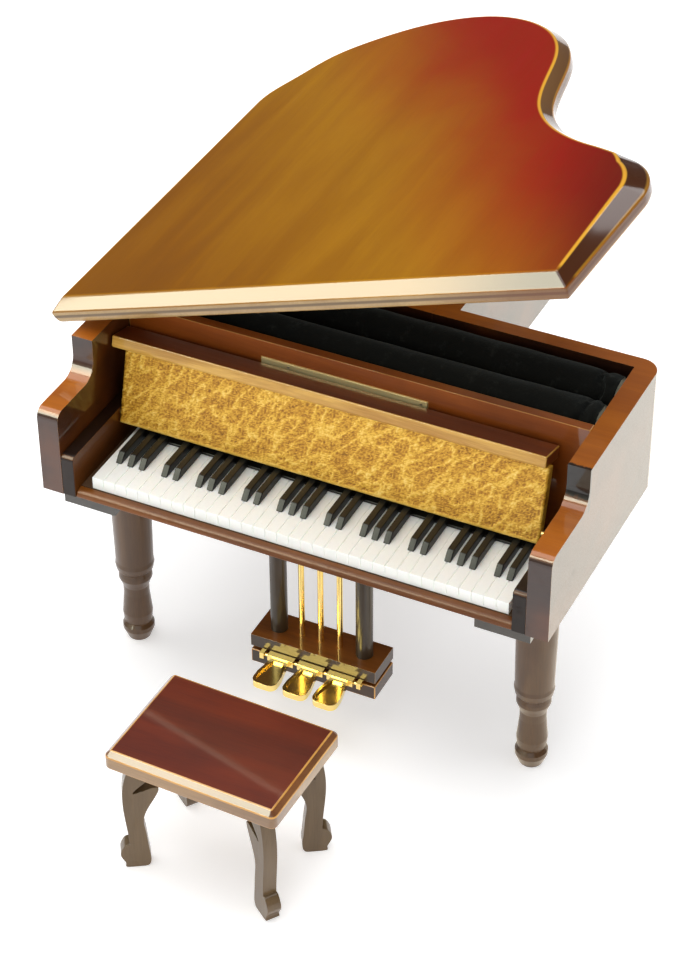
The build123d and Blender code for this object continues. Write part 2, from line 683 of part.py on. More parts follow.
# Pedal axle in front of the slot, held by two brass eyes whose tangs sit in the slot.
with BuildPart() as pedal_axle:
    with BuildSketch(Plane.YZ.offset(-17.4)):
        with Locations((AXLE_Y, SLOT_Z)):
            Circle(AXLE_R)
    extrude(amount=35.2)
pieces["pedal_axle"] = pedal_axle
for x, name in ((-16.4, "axle_eye_left"), (16.8, "axle_eye_right")):
    with BuildPart() as eye:
        with BuildSketch(Plane.XY.offset(SLOT_Z - 1.1)):
            with Locations((x, AXLE_Y)):
                Rectangle(1.4, 2.2)
        extrude(amount=2.2)
        with BuildSketch(Plane.XY.offset(SLOT_Z - SLOT_H / 2 + 0.1)):
            with Locations((x, AXLE_Y + 2.4)):
                Rectangle(1.4, 4.8)
        extrude(amount=SLOT_H - 0.2)
        with BuildSketch(Plane.YZ.offset(x)):
            with Locations((AXLE_Y, SLOT_Z)):
                Circle(AXLE_R)
        extrude(amount=2, both=True, mode=Mode.SUBTRACT)
    pieces[name] = eye

# Three brass pedals: a sleeve bar on the axle and a spade-shaped blade with a dished top.
for x, name in zip(PEDAL_XS, ("pedal_left", "pedal_middle", "pedal_right")):
    with BuildPart() as pedal:
        with BuildSketch(Plane.XY.offset(SLOT_Z - 1.6)):
            with BuildLine():
                Polyline(
                    (x - 2.6, AXLE_Y - 0.6),
                    (x - 4.1, AXLE_Y - 8.4),
                    (x - 4.1, AXLE_Y - 13.4),
                    (x + 4.1, AXLE_Y - 13.4),
                    (x + 4.1, AXLE_Y - 8.4),
                    (x + 2.6, AXLE_Y - 0.6),
                    close=True,
                )
            make_face()
        extrude(amount=2.3)
        fillet(pedal.edges().filter_by(Axis.Z).group_by(Axis.Y)[0], 2.4)
        with BuildSketch(Plane.XY.offset(SLOT_Z + 0.7)):
            with BuildLine():
                Polyline(
                    (x - 1.7, AXLE_Y - 2.4),
                    (x - 3.2, AXLE_Y - 8.6),
                    (x - 3.2, AXLE_Y - 12.0),
                    (x + 3.2, AXLE_Y - 12.0),
                    (x + 3.2, AXLE_Y - 8.6),
                    (x + 1.7, AXLE_Y - 2.4),
                    close=True,
                )
            make_face()
            fillet(vertices().group_by(Axis.Y)[0], 1.6)
        extrude(amount=-0.8, mode=Mode.SUBTRACT)
        with BuildSketch(Plane.XY.offset(SLOT_Z - 1.1)):
            with Locations((x, AXLE_Y)):
                Rectangle(8.8, 2.2)
        extrude(amount=2.2)
        with BuildSketch(Plane.YZ.offset(x)):
            with Locations((AXLE_Y, SLOT_Z)):
                Circle(AXLE_R + 0.05)
        extrude(amount=6, both=True, mode=Mode.SUBTRACT)
    pieces[name] = pedal

# Stool: a bevelled seat on four flat fret-cut legs set on its diagonals.
yaw = radians(STOOL_YAW)
SEAT = Plane(origin=(STOOL_X, STOOL_Y, SEAT_TOP - SEAT_T), x_dir=(cos(yaw), sin(yaw), 0), z_dir=(0, 0, 1))
with BuildPart() as stool_seat:
    with BuildSketch(SEAT):
        Rectangle(SEAT_L, SEAT_D)
    extrude(amount=SEAT_T)
    fillet(stool_seat.edges().filter_by(Axis.Z), 2.0)
    chamfer(stool_seat.faces().sort_by(Axis.Z)[-1].edges(), 1.7)
pieces["stool_seat"] = stool_seat
LEG_TOP = SEAT_TOP - SEAT_T
LEG_S = 29.5
ANGLES = {
    "front_left": 180 + STOOL_LEG_ANGLE,
    "front_right": -STOOL_LEG_ANGLE,
    "rear_right": STOOL_LEG_ANGLE,
    "rear_left": 180 - STOOL_LEG_ANGLE,
}
for where, angle in ANGLES.items():
    turn = radians(angle + STOOL_YAW)
    board = Plane(
        origin=(STOOL_X, STOOL_Y, 0),
        x_dir=(cos(turn), sin(turn), 0),
        z_dir=(sin(turn), -cos(turn), 0),
    )
    with BuildPart() as stool_leg:
        with BuildSketch(board):
            with BuildLine():
                Spline(
                    (LEG_S - 2.6, LEG_TOP),
                    (LEG_S - 0.4, LEG_TOP - 7),
                    (LEG_S, LEG_TOP - 16),
                    (LEG_S - 0.9, 14),
                    (LEG_S - 1.2, 9.2),
                )
                Spline(
                    (LEG_S - 1.2, 9.2),
                    (LEG_S + 0.8, 7.9),
                    (LEG_S + 1.6, 4.8),
                    (LEG_S + 0.2, 1.2),
                    (LEG_S - 2.6, 0),
                    tangents=((1, 0), (-1, 0)),
                )
                Line((LEG_S - 2.6, 0), (LEG_S - 5.2, 0))
                Spline(
                    (LEG_S - 5.2, 0),
                    (LEG_S - 7.2, 2.4),
                    (LEG_S - 6.9, 6.5),
                    (LEG_S - 6.2, 14),
                    (LEG_S - 6.6, 22),
                    (LEG_S - 9.4, LEG_TOP - 8.5),
                    (LEG_S - 14.5, LEG_TOP),
                    tangents=((-1, 0), (-1, 0.8)),
                )
                Line((LEG_S - 14.5, LEG_TOP), (LEG_S - 2.6, LEG_TOP))
            make_face()
        extrude(amount=STOOL_LEG_T / 2, both=True)
    pieces["stool_leg_" + where] = stool_leg

# The whole set is moved so that the origin is under its middle, then every piece is written.
boxes = [piece.part.bounding_box() for piece in pieces.values()]
mid_x = (min(b.min.X for b in boxes) + max(b.max.X for b in boxes)) / 2
mid_y = (min(b.min.Y for b in boxes) + max(b.max.Y for b in boxes)) / 2
home = Location((-mid_x, -mid_y, 0))
for node, piece in pieces.items():
    placed = piece.part.moved(home)
    placed.label = node
    export_step(placed, f"parts/{node}.step")
print("middle", round(mid_x, 4), round(mid_y, 4), "pieces", len(pieces))
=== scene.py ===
import bmesh
import bpy
from math import cos, pi, radians, sin
from mathutils import Matrix, Vector, noise


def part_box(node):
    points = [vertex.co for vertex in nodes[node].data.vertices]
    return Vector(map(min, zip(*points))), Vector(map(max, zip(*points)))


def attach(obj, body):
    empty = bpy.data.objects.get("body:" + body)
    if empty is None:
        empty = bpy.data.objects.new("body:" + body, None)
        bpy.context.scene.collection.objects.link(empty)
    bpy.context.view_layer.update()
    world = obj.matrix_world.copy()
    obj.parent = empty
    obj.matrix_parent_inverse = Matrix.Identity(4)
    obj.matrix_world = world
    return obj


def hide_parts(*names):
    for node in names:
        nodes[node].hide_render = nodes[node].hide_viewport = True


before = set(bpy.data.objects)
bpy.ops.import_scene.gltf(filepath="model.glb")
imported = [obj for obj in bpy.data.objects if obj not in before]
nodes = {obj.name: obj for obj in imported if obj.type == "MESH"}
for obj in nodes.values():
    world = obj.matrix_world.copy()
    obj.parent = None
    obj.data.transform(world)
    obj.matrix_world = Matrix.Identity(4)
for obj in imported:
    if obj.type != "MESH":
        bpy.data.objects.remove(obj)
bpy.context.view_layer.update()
scene = bpy.context.scene

# ---- Table top, light and camera
# The set stands on a white table top. The whole piano is placed by the case: front of the arms, middle
# of the case and the floor are zero, and sizes are in millimetres, which at() turns into the frame.
case_lo, case_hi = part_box("rim")
MM = 0.001


def at(x, y, z):
    """A place on the piano, in mm from the middle of the front of the case on the floor."""
    return Vector(((case_lo.x + case_hi.x) / 2 + x * MM, case_lo.y + y * MM, z * MM))


class Shade:
    """One socket of a material. Arithmetic on it adds Math nodes; node() adds any other node."""

    def __init__(self, tree, socket=None):
        self.tree = tree
        self.socket = socket

    def node(self, kind, sockets=None, out=0, stops=None, **settings):
        """A shader node: settings first, then a ramp's stops, then values or links for its sockets."""
        made = self.tree.nodes.new("ShaderNode" + kind)
        for name, value in settings.items():
            setattr(made, name, value)
        if stops:
            ramp = made.color_ramp
            while len(ramp.elements) < len(stops):
                ramp.elements.new(1)
            for element, (place, colour) in zip(ramp.elements, stops):
                element.position = place
                element.color = (*colour, 1)
        for name, value in (sockets or {}).items():
            if isinstance(value, Shade):
                self.tree.links.new(value.socket, made.inputs[name])
            else:
                made.inputs[name].default_value = value
        return Shade(self.tree, made.outputs[out])

    def maths(self, operation, *terms):
        return self.node("Math", dict(enumerate(terms)), operation=operation)

    def __add__(self, other):
        return self.maths("ADD", self, other)

    def __sub__(self, other):
        return self.maths("SUBTRACT", self, other)

    def __rsub__(self, other):
        return self.maths("SUBTRACT", other, self)

    def __mul__(self, other):
        return self.maths("MULTIPLY", self, other)

    __radd__ = __add__
    __rmul__ = __mul__

    def ramp(self, *stops):
        return self.node("ValToRGB", {0: self}, stops=stops)

    def step(self, low, high):
        """0 below low, 1 above high and smooth between."""
        return self.node("MapRange", {0: self, 1: low, 2: high}, interpolation_type="SMOOTHSTEP")

    def tint(self, first, second):
        """first where this is 0, second where it is 1."""
        both = [c if isinstance(c, Shade) else (*c, 1) for c in (first, second)]
        return self.node("Mix", {0: self, 6: both[0], 7: both[1]}, out=2, data_type="RGBA")

    def axis(self, letter):
        return self.node("SeparateXYZ", {0: self}, out="XYZ".index(letter))


def new_material(name):
    """A material, its empty Shade and its Principled shader."""
    material = bpy.data.materials.new(name)
    material.use_nodes = True
    tree = material.node_tree
    return material, Shade(tree), tree.nodes["Principled BSDF"]


def wire(shader, **sockets):
    """Sets the shader's sockets, by name with _ for a space, to numbers, colours or Shades."""
    for name, value in sockets.items():
        socket = shader.inputs[name.replace("_", " ")]
        if isinstance(value, Shade):
            value.tree.links.new(value.socket, socket)
        elif isinstance(value, tuple):
            socket.default_value = (*value, 1)
        else:
            socket.default_value = value


def add_mesh(name, mesh, *materials):
    """An object of its own for a finished bmesh or mesh."""
    if isinstance(mesh, bmesh.types.BMesh):
        made = bpy.data.meshes.new(name)
        bmesh.ops.recalc_face_normals(mesh, faces=mesh.faces)
        mesh.to_mesh(made)
        mesh.free()
        mesh = made
    for material in materials:
        mesh.materials.append(material)
    piece = bpy.data.objects.new(name, mesh)
    scene.collection.objects.link(piece)
    return piece


table_mesh = bmesh.new()
bmesh.ops.create_circle(table_mesh, cap_ends=True, segments=96, radius=2.6)
table_white, m, shader = new_material("table_white")
place = m.node("TexCoord", out=3)
cloud = m.node("TexNoise", {"Vector": place, "Scale": 3.0, "Detail": 3.0})
wire(shader, Base_Color=cloud.ramp((0.0, (0.90, 0.90, 0.905)), (1.0, (0.93, 0.93, 0.93))), Roughness=0.7)
wire(shader, Specular_IOR_Level=0.2, Emission_Color=(1.0, 1.0, 1.0), Emission_Strength=0.42)
table_top = add_mesh("table_top", table_mesh, table_white)

world = bpy.data.worlds.new("studio")
world.use_nodes = True
world.node_tree.nodes["Background"].inputs[0].default_value = (0.95, 0.97, 1.0, 1)
world.node_tree.nodes["Background"].inputs[1].default_value = 0.06
scene.world = world
scene.view_settings.view_transform = "Standard"


def soft_box(name, place, aim, width, height, power, gloss=True, matte=True):
    """A rectangular studio light; gloss and matte say which surfaces it is seen in."""
    light = bpy.data.lights.new(name, "AREA")
    light.shape = "RECTANGLE"
    light.size = width
    light.size_y = height
    light.energy = power
    lamp = bpy.data.objects.new(name, light)
    scene.collection.objects.link(lamp)
    lamp.location = place
    lamp.rotation_mode = "QUATERNION"
    lamp.rotation_quaternion = (aim - place).to_track_quat("-Z", "Y")
    lamp.visible_camera = False
    lamp.visible_diffuse = matte
    lamp.visible_glossy = gloss
    return lamp


middle = at(0, 20, 100)
soft_box("overhead", middle + Vector((-0.15, 0.1, 1.3)), middle, 1.5, 1.5, 21.0)
soft_box("front_fill", middle + Vector((0.5, -1.3, 0.8)), middle, 1.2, 0.8, 4.0)
# white walls all round, which fill the shadows on the table
walls = {"left": (-1.6, -0.2), "right": (1.6, -0.2), "front": (0.1, -1.8), "rear": (0, 1.8)}
for name, side in walls.items():
    soft_box(f"{name}_wall", middle + Vector((*side, 0.3)), middle, 2.4, 1.0, 11.0, gloss=False)
# long white card to the front left, mirrored by the front bevels of the lid and of the stool
left_card = middle + Vector((-0.76, -0.70, 0.80))
card = soft_box("front_left_card", left_card, middle, 1.25, 0.8, 40.0, matte=False)
card.data.color = (0.98, 1.0, 0.80)
# card to the rear right, mirrored by the treble bevel of the lid
soft_box("rear_card", middle + Vector((0.16, 1.07, 0.79)), middle, 0.44, 0.30, 1.2, matte=False)
# the lit table top to the rear right, as the polished treble wall mirrors it
glow = soft_box("table_glow", at(230, 190, 0.6), at(230, 190, 100), 0.36, 0.42, 0.22, matte=False)
glow.data.color = (1.0, 0.80, 0.40)

camera_data = bpy.data.cameras.new("camera")
camera = bpy.data.objects.new("camera", camera_data)
scene.collection.objects.link(camera)
scene.camera = camera
camera_data.sensor_width = 36
camera_data.lens = 101.83
camera_data.clip_start = 0.05
camera_data.clip_end = 10
TURN, HEIGHT, TILT = radians(26.178), radians(37.764), radians(-0.476)
back = Vector((sin(TURN) * cos(HEIGHT), -cos(TURN) * cos(HEIGHT), sin(HEIGHT)))
right = Vector((cos(TURN), sin(TURN), 0))
up = back.cross(right)
right, up = right * cos(TILT) + up * sin(TILT), up * cos(TILT) - right * sin(TILT)
camera_turn = Matrix((right, up, back)).transposed().to_4x4()
camera.matrix_world = Matrix.Translation(at(282.47, -539.05, 577.08)) @ camera_turn

# ---- Case
# One standing wall around the front box and the round tail, mahogany veneer under thick clear lacquer.
# The edges show light wood from edge wear and carry a painted highlight, and the upright faces are painted
# dark as painted shading, darkest on the front ends.


def grain(m, along, broad=9.0, fine=90.0, turn=(0, 0, 0)):
    """Broad figure and fine pores of wood whose fibres run along one axis, both from 0 to 1."""
    place = m.node("TexCoord", out=3)
    long_way = [1.0 if letter == along else 9.0 for letter in "XYZ"]
    stretched = m.node("Mapping", {"Vector": place, "Rotation": turn, "Scale": long_way})
    figure = m.node(
        "TexNoise", {"Vector": stretched, "Scale": broad, "Detail": 5.0, "Roughness": 0.6, "Distortion": 0.6}
    )
    finer = [1.0 if letter == along else 24.0 for letter in "XYZ"]
    threads = m.node("Mapping", {"Vector": place, "Rotation": turn, "Scale": finer})
    pores = m.node("TexNoise", {"Vector": threads, "Scale": fine, "Detail": 4.0, "Roughness": 0.7})
    return figure.step(0.3, 0.7), pores.step(0.35, 0.75)


def lacquered(
    name, dark, light, along="Y", broad=9.0, coat=1.0, rough=0.36, blotch=0.0, upright_shading=None, ior=1.5, chip=None
):
    """Stained wood under clear lacquer: dark and light are the two ends of the figure.

    upright_shading is a colour painted on the faces that do not point up, as painted shading for how light
    falls on them; chip a place where the edge is knocked off."""
    material, m, shader = new_material(name)
    figure, pores = grain(m, along, broad)
    colour = (figure * 0.75 + pores * 0.25).tint(dark, light)
    place = m.node("TexCoord", out=3)
    # painted shading: faces that do not point up take the upright_shading colour in place of the stained
    # figure
    if upright_shading:
        upward = m.node("TexCoord", out=1).axis("Z").step(0.45, 0.95)
        colour = upward.tint((figure * 0.6 + pores * 0.4).tint(upright_shading, tuple(c * 1.8 for c in upright_shading)), colour)
    patches = m.node("TexNoise", {"Vector": place, "Scale": 38.0, "Detail": 3.0}).step(0.4, 0.75)
    shadow = tuple(c * (1 - blotch) for c in dark)
    colour = (patches * blotch).tint(colour, shadow)
    if chip:
        spot, reach = chip
        torn = {"Vector": place, "Scale": 700.0, "Detail": 4.0, "Roughness": 0.7}
        ragged = m.node("TexNoise", torn) * 0.0022
        near = m.node("VectorMath", {0: place, 1: spot}, operation="SUBTRACT")
        depth = near.axis("Y").maths("ABSOLUTE", near.axis("Y")) - ragged
        along_edge = near.axis("Z").maths("ABSOLUTE", near.axis("Z")) - ragged * 2
        lost = (1 - depth.step(-0.0004, 0.0002)) * (1 - along_edge.step(reach - 0.0006, reach))
        lost = lost * near.axis("X").step(-0.0085, -0.0075)
        colour = lost.tint(colour, (0.006, 0.003, 0.002))
    dust = m.node("TexNoise", {"Vector": place, "Scale": 420.0, "Detail": 2.0}).step(0.55, 0.8)
    bump = m.node("Bump", {"Strength": 0.06, "Distance": 0.0002, "Height": pores})
    wire(shader, Base_Color=colour, Roughness=rough + pores * 0.12, Coat_Weight=coat - dust * 0.25)
    wire(shader, Coat_Roughness=0.05, Coat_IOR=ior, Specular_IOR_Level=0.25, Normal=bump)
    return material


def ease(node, width, wear_and_highlight=None, segments=2, angle=32):
    """Rounds the sharp edges of a CAD node and gives the round the edge finish of wear and painted highlight,
    if there is one.
    """
    weld = node.modifiers.new("weld", "WELD")
    weld.merge_threshold = 2e-6
    flat = node.modifiers.new("flat", "DECIMATE")
    flat.decimate_type = "DISSOLVE"
    flat.angle_limit = radians(0.4)
    round_over = node.modifiers.new("round_over", "BEVEL")
    round_over.width = width * MM
    round_over.segments = segments
    round_over.limit_method = "ANGLE"
    round_over.angle_limit = radians(angle)
    round_over.use_clamp_overlap = True
    if wear_and_highlight is not None:
        round_over.material = 1
    even = node.modifiers.new("even", "WEIGHTED_NORMAL")
    even.weight = 80


def dress(names, *materials, slot=None):
    """Puts the finishes on CAD nodes in place of the plain ones they came with."""
    for name in names.split() if isinstance(names, str) else names:
        piece = nodes[name]
        piece.data.materials.clear()
        for material in materials:
            piece.data.materials.append(material)
        for polygon in piece.data.polygons:
            polygon.material_index = 0


rise_chip = (at(82.5, 27.1, 110.5), 0.0068)  # middle of the chip on the treble rise and half its height
# painted shading: the upright faces of the case are painted near black
case_stain = lacquered(
    "case_stain",
    (0.31, 0.075, 0.002),
    (0.48, 0.135, 0.003),
    along="X",
    blotch=0.3,
    upright_shading=(0.018, 0.005, 0.002),
    ior=1.45,
    chip=rise_chip,
)
# the light edge finishes are edge wear and also a painted highlight along the edges
worn_edge_highlight = lacquered("worn_edge_highlight", (0.42, 0.16, 0.025), (0.72, 0.38, 0.09), along="X", rough=0.4)
rim_edge_highlight = lacquered(
    "rim_edge_highlight", (0.42, 0.16, 0.02), (0.72, 0.38, 0.08), along="X", rough=0.4, chip=rise_chip
)
dress("rim", case_stain, rim_edge_highlight)
ease(nodes["rim"], 0.35, rim_edge_highlight)
wall_stain = lacquered("wall_stain", (0.20, 0.040, 0.004), (0.34, 0.085, 0.008), along="X", blotch=0.4)
dress("compartment_wall", wall_stain, worn_edge_highlight)
ease(nodes["compartment_wall"], 0.25, worn_edge_highlight)
dress("divider", case_stain)
trim_stain = lacquered(
    "trim_stain", (0.095, 0.026, 0.003), (0.20, 0.060, 0.005), along="X", broad=14.0, coat=0.1
)
block_stain = lacquered("block_stain", (0.060, 0.016, 0.002), (0.11, 0.034, 0.003), along="Y", coat=0.2)
# painted dark reflection and painted shading: a near-black finish for the tops of the key blocks, which
# mirror the dark cheeks, and for their fronts
painted_block_shading = lacquered("painted_block_shading", (0.006, 0.002, 0.001), (0.015, 0.005, 0.002), along="Y", coat=0.15)
dress("key_slip", trim_stain, trim_stain)
ease(nodes["key_slip"], 0.25)
dress("key_block_left key_block_right", block_stain, worn_edge_highlight, painted_block_shading)
# the tops and fronts of the key blocks take the painted shading finish
for name in ("key_block_left", "key_block_right"):
    for polygon in nodes[name].data.polygons:
        if polygon.normal.z > 0.9 or polygon.normal.y < -0.9:
            polygon.material_index = 2
    ease(nodes[name], 0.25)
# the plain board is kept dark as painted shading for the underside of the case
board = lacquered("plain_board", (0.050, 0.026, 0.012), (0.11, 0.055, 0.025), along="Y", coat=0.0, rough=0.7)
dress("bottom_board tray_board tray_support_left tray_support_right", board)
for name in ("bottom_board", "tray_board"):
    ease(nodes[name], 0.2)

# ---- Lid
# One thick plywood board in the harp shape of a grand, bevelled all round the top and faced with a
# sunburst of stain under gloss lacquer: olive gold on the bass side, red at the treble and the tail.
OPEN = radians(18.8)
HINGE = at(-84, 0, 117.35)
LID_T, LID_GAP, BEVEL = 7.2, 0.8, 3.6
lid_turn = Matrix.Translation(HINGE) @ Matrix.Rotation(-OPEN, 4, "Y")
flat_lid = lid_turn.inverted()
edge = []
for vertex in nodes["lid"].data.vertices:
    p = flat_lid @ vertex.co / MM
    if abs(p.z - (LID_GAP + LID_T - BEVEL)) < 0.02:
        edge.append((round(p.x, 3), round(p.y, 3)))


def around(p):
    """The direction of a point from the middle of the lid's wide part, which sees the whole edge."""
    return Vector((p[0] - 60, p[1] - (edge_front + 64))).angle_signed(Vector((1, 0)))


edge_front = min(p[1] for p in edge)
edge = sorted(set(edge), key=around)


corner_turn = radians(50)
SHARP_R = 0.5  # radius left on the two front corners
lid_ring = []
count = len(edge)
points = [Vector(p) for p in edge]
area = sum(p.x * q.y - q.x * p.y for p, q in zip(points, points[1:] + points[:1]))
facing_in = 1 if area > 0 else -1


def side_normal(p, q):
    return Vector((p.y - q.y, q.x - p.x)).normalized() * facing_in


def slope(k):
    """The direction of the edge at a point, along the straight run where one ends there."""
    before, after = points[k] - points[k - 1], points[(k + 1) % count] - points[k]
    if before.angle(after) > corner_turn:
        return None
    return (before + after).normalized()


for k, p in enumerate(points):
    q = points[(k + 1) % count]
    leave, arrive = slope(k), slope((k + 1) % count)
    if leave is None:
        lid_ring.append((p, side_normal(points[k - 1], p), side_normal(p, q)))
        continue
    n = Vector((-leave.y, leave.x)) * facing_in
    lid_ring.append((p, n, n))
    run = (q - p).length
    if run > 12 or arrive is None:
        continue
    for t in (0.25, 0.5, 0.75):
        spot = (
            p * (2 * t**3 - 3 * t**2 + 1)
            + leave * run * (t**3 - 2 * t**2 + t)
            + q * (3 * t**2 - 2 * t**3)
            + arrive * run * (t**3 - t**2)
        )
        way = leave.lerp(arrive, t).normalized()
        n = Vector((-way.y, way.x)) * facing_in
        lid_ring.append((spot, n, n))


SHOULDER = Vector((157.2, 100.6))  # where the treble corner starts
WIDER = 3.8  # how much wider the bevel is there than at the front


def ring_at(inset, under, wide):
    """The edge line moved inwards; under is how far the bass edge is cut back below its nose, and wide
    the share of the treble side's extra bevel at this height."""
    made = []
    for p, before, after in lid_ring:
        treble = min(1.0, max(0.0, (p.x - SHOULDER.x + 3) / 8))
        extra = treble * wide * WIDER * (p.y - edge_front) / (SHOULDER.y - edge_front)
        p = p - Vector((extra, 0))
        bass = max(0.0, 1 - (p.x - LID_LEFT) / 5)
        if (before - after).length < 1e-6:
            made.append(p + before * (inset + under * bass))
            continue
        both = before + after
        mitre = both * (2 / both.length**2)
        centre = p + mitre * (inset + SHARP_R) + Vector((under * bass, 0))
        for t in (0, 0.25, 0.5, 0.75, 1):
            made.append(centre - before.lerp(after, t).normalized() * SHARP_R)
    return made


# the profile of the edge from the underside to the top: inset, height, how much edge wear and painted
# highlight it has, on the bevel
UNDER = 2.2
lid_profile = [
    (1.0, 0.0, 0.0, 0),
    (0.35, 0.12, 0.3, 0),
    (0.06, 0.45, 0.5, 0),
    (0.0, 0.9, 0.0, 0),
    (0.0, 2.0, 0.0, 0),
    (0.0, LID_T - BEVEL - 0.4, 0.0, 0),
    (0.05, LID_T - BEVEL - 0.1, 0.25, 0),
    (0.26, LID_T - BEVEL + 0.26, 0.35, 1),
    (0.55, LID_T - BEVEL + 0.55, 0.0, 1),
    (BEVEL - 0.45, LID_T - 0.45, 0.0, 1),
    (BEVEL - 0.25, LID_T - 0.27, 0.9, 1),
    (BEVEL + 0.1, LID_T - 0.06, 1.0, 0),
    (BEVEL + 0.35, LID_T, 0.8, 0),
    (BEVEL + 0.75, LID_T, 0.0, 0),
]
LID_LEFT = min(p.x for p in points)
lid_mesh = bmesh.new()
wear_and_highlight_layer = lid_mesh.verts.layers.float.new("wear_and_highlight")
bevel_layer = lid_mesh.verts.layers.float.new("bevel")
rings = []
for inset, height, wear_and_highlight_amount, on_bevel in lid_profile:
    under = UNDER * max(0.0, 1 - height / 3.4) ** 2
    ring = []
    for spot in ring_at(inset, under, max(0.0, height / BEVEL - LID_T / BEVEL + 1)):
        v = lid_mesh.verts.new(lid_turn @ (Vector((spot.x, spot.y, LID_GAP + height)) * MM))
        v[wear_and_highlight_layer] = wear_and_highlight_amount
        v[bevel_layer] = on_bevel
        ring.append(v)
    rings.append(ring)
for low, high in zip(rings, rings[1:]):
    for k in range(len(low)):
        face = lid_mesh.faces.new((low[k - 1], low[k], high[k], high[k - 1]))
        face.smooth = True
lid_mesh.faces.new(rings[-1])
lid_mesh.faces.new(list(reversed(rings[0])))

sunburst, m, shader = new_material("sunburst")
place = m.node("TexCoord", out=3)
local = m.node("VectorMath", {0: place, 1: HINGE}, operation="SUBTRACT")
local = m.node("VectorRotate", {"Vector": local, "Angle": OPEN}, rotation_type="Y_AXIS")
across, along_lid, height_lid = local.axis("X"), local.axis("Y"), local.axis("Z") - LID_GAP * MM
figure, pores = grain(m, "Y", broad=7.0, turn=(0, OPEN, radians(-18)))
wander = m.node("TexNoise", {"Vector": place, "Scale": 12.0, "Detail": 5.0, "Distortion": 0.6})
wander = wander - 0.5
red = (across + along_lid * 0.70 + wander * 0.05).step(0.128, 0.212)
warm = (across + along_lid * 0.62 + wander * 0.05).step(0.02, 0.14)
gold = (warm * 0.7 + figure * 0.32).ramp(
    (0.0, (0.21, 0.068, 0.0008)),
    (0.35, (0.27, 0.094, 0.001)),
    (0.7, (0.35, 0.140, 0.002)),
    (1.0, (0.43, 0.185, 0.004)),
)
deep = (figure * 0.6 + pores * 0.2).tint((0.33, 0.006, 0.0004), (0.30, 0.014, 0.0006))
far_corner = (across + along_lid * 0.22).step(0.145, 0.190)
deep = (far_corner * 0.75).tint(deep, (0.085, 0.003, 0.0004))
burst = red.tint(gold, deep)
burst = (pores * 0.15).tint(burst, (0.16, 0.05, 0.003))
wear_and_highlight = m.node("Attribute", attribute_name="wear_and_highlight", out=2)
on_bevel = m.node("Attribute", attribute_name="bevel", out=2)
treble = (across - 0.12 + along_lid * 0.28).step(0.0, 0.05)
bevel_wood = treble.tint((0.36, 0.20, 0.075), (0.060, 0.016, 0.003))
# the plies show in the cut edge: pale, one dark layer at half height, pale
ply = (height_lid - 0.0021).maths("ABSOLUTE", height_lid - 0.0021).step(0.0002, 0.0007)
streak = (figure * 0.6 + pores * 0.4).tint((0.30, 0.185, 0.08), (0.46, 0.31, 0.14))
edge_wood = ply.tint((0.15, 0.095, 0.045), streak)
edge_wood = (treble * 0.75).tint(edge_wood, (0.13, 0.035, 0.010))
side = 1 - (height_lid - (LID_T - BEVEL) * MM).step(-0.0003, 0.0001)
skin = on_bevel.tint(burst, bevel_wood)
skin = side.tint(skin, edge_wood)
# edge wear and painted highlight: the edges of the board take a light gold, faint along the front edge
front_edge = 1 - (along_lid - 0.031).step(0.0, 0.003)
skin = (wear_and_highlight * (0.95 - front_edge * 0.8)).tint(skin, (0.83, 0.42, 0.035))
bump = m.node("Bump", {"Strength": 0.05, "Distance": 0.0002, "Height": pores})
wire(shader, Base_Color=skin, Roughness=0.40 + figure * 0.08, Coat_Weight=1.0, Coat_Roughness=0.07)
wire(shader, Coat_IOR=1.5, Specular_IOR_Level=0.03, Normal=bump)
lid = add_mesh("lid_board", lid_mesh, sunburst)
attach(lid, "lid")
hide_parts("lid")

# ---- Lid hinges
# Two stamped brass butt hinges on the bass side, each with two leaves, a steel pin and four screws.
hinge_brass, m, shader = new_material("hinge_brass")
place = m.node("TexCoord", out=3)
scratch = m.node("TexNoise", {"Vector": place, "Scale": 900.0, "Detail": 4.0, "Distortion": 1.5})
tarnish = m.node("TexNoise", {"Vector": place, "Scale": 180.0, "Detail": 4.0}).step(0.45, 0.8)
wire(shader, Base_Color=tarnish.tint((0.72, 0.52, 0.20), (0.38, 0.25, 0.09)), Metallic=1.0)
wire(shader, Roughness=0.26 + scratch * 0.14)
screw_steel, m, shader = new_material("screw_steel")
place = m.node("TexCoord", out=3)
spots = m.node("TexNoise", {"Vector": place, "Scale": 1500.0, "Detail": 3.0})
wire(shader, Base_Color=spots.tint((0.36, 0.33, 0.28), (0.52, 0.50, 0.45)), Metallic=1.0)
wire(shader, Roughness=0.3 + spots * 0.2)
for end in ("front", "rear"):
    dress([f"hinge_case_leaf_{end}", f"hinge_lid_leaf_{end}", f"hinge_pin_{end}"], hinge_brass)
dress("case_leaf_screws lid_leaf_screws leg_plate_screws", screw_steel)

# ---- Ring compartment
# A shallow tray across the wide box holds two padded velvet rolls that grip rings between them; the
# tail is lined with the same black velvet.
velvet, m, shader = new_material("black_velvet")
place = m.node("TexCoord", out=3)
nap = m.node("TexNoise", {"Vector": place, "Scale": 2600.0, "Detail": 2.0})
lint = m.node("TexNoise", {"Vector": place, "Scale": 240.0, "Detail": 6.0, "Roughness": 0.75}).step(0.52, 0.8)
# painted sheen: the velvet colour is lighter where the cloth is seen at a slant, on top of the lint and dust
facing = m.node("LayerWeight", {"Blend": 0.35}, out=1)
dust_and_sheen = (lint * 0.6 + facing * 0.25 + nap * 0.1).tint((0.002, 0.0022, 0.0022), (0.034, 0.040, 0.037))
bump = m.node("Bump", {"Strength": 0.5, "Distance": 0.0003, "Height": nap + lint * 0.5})
wire(shader, Base_Color=dust_and_sheen, Roughness=0.95, Sheen_Weight=0.12, Sheen_Roughness=0.4, Normal=bump)
wire(shader, Sheen_Tint=(0.7, 0.8, 0.78), Specular_IOR_Level=0.1)

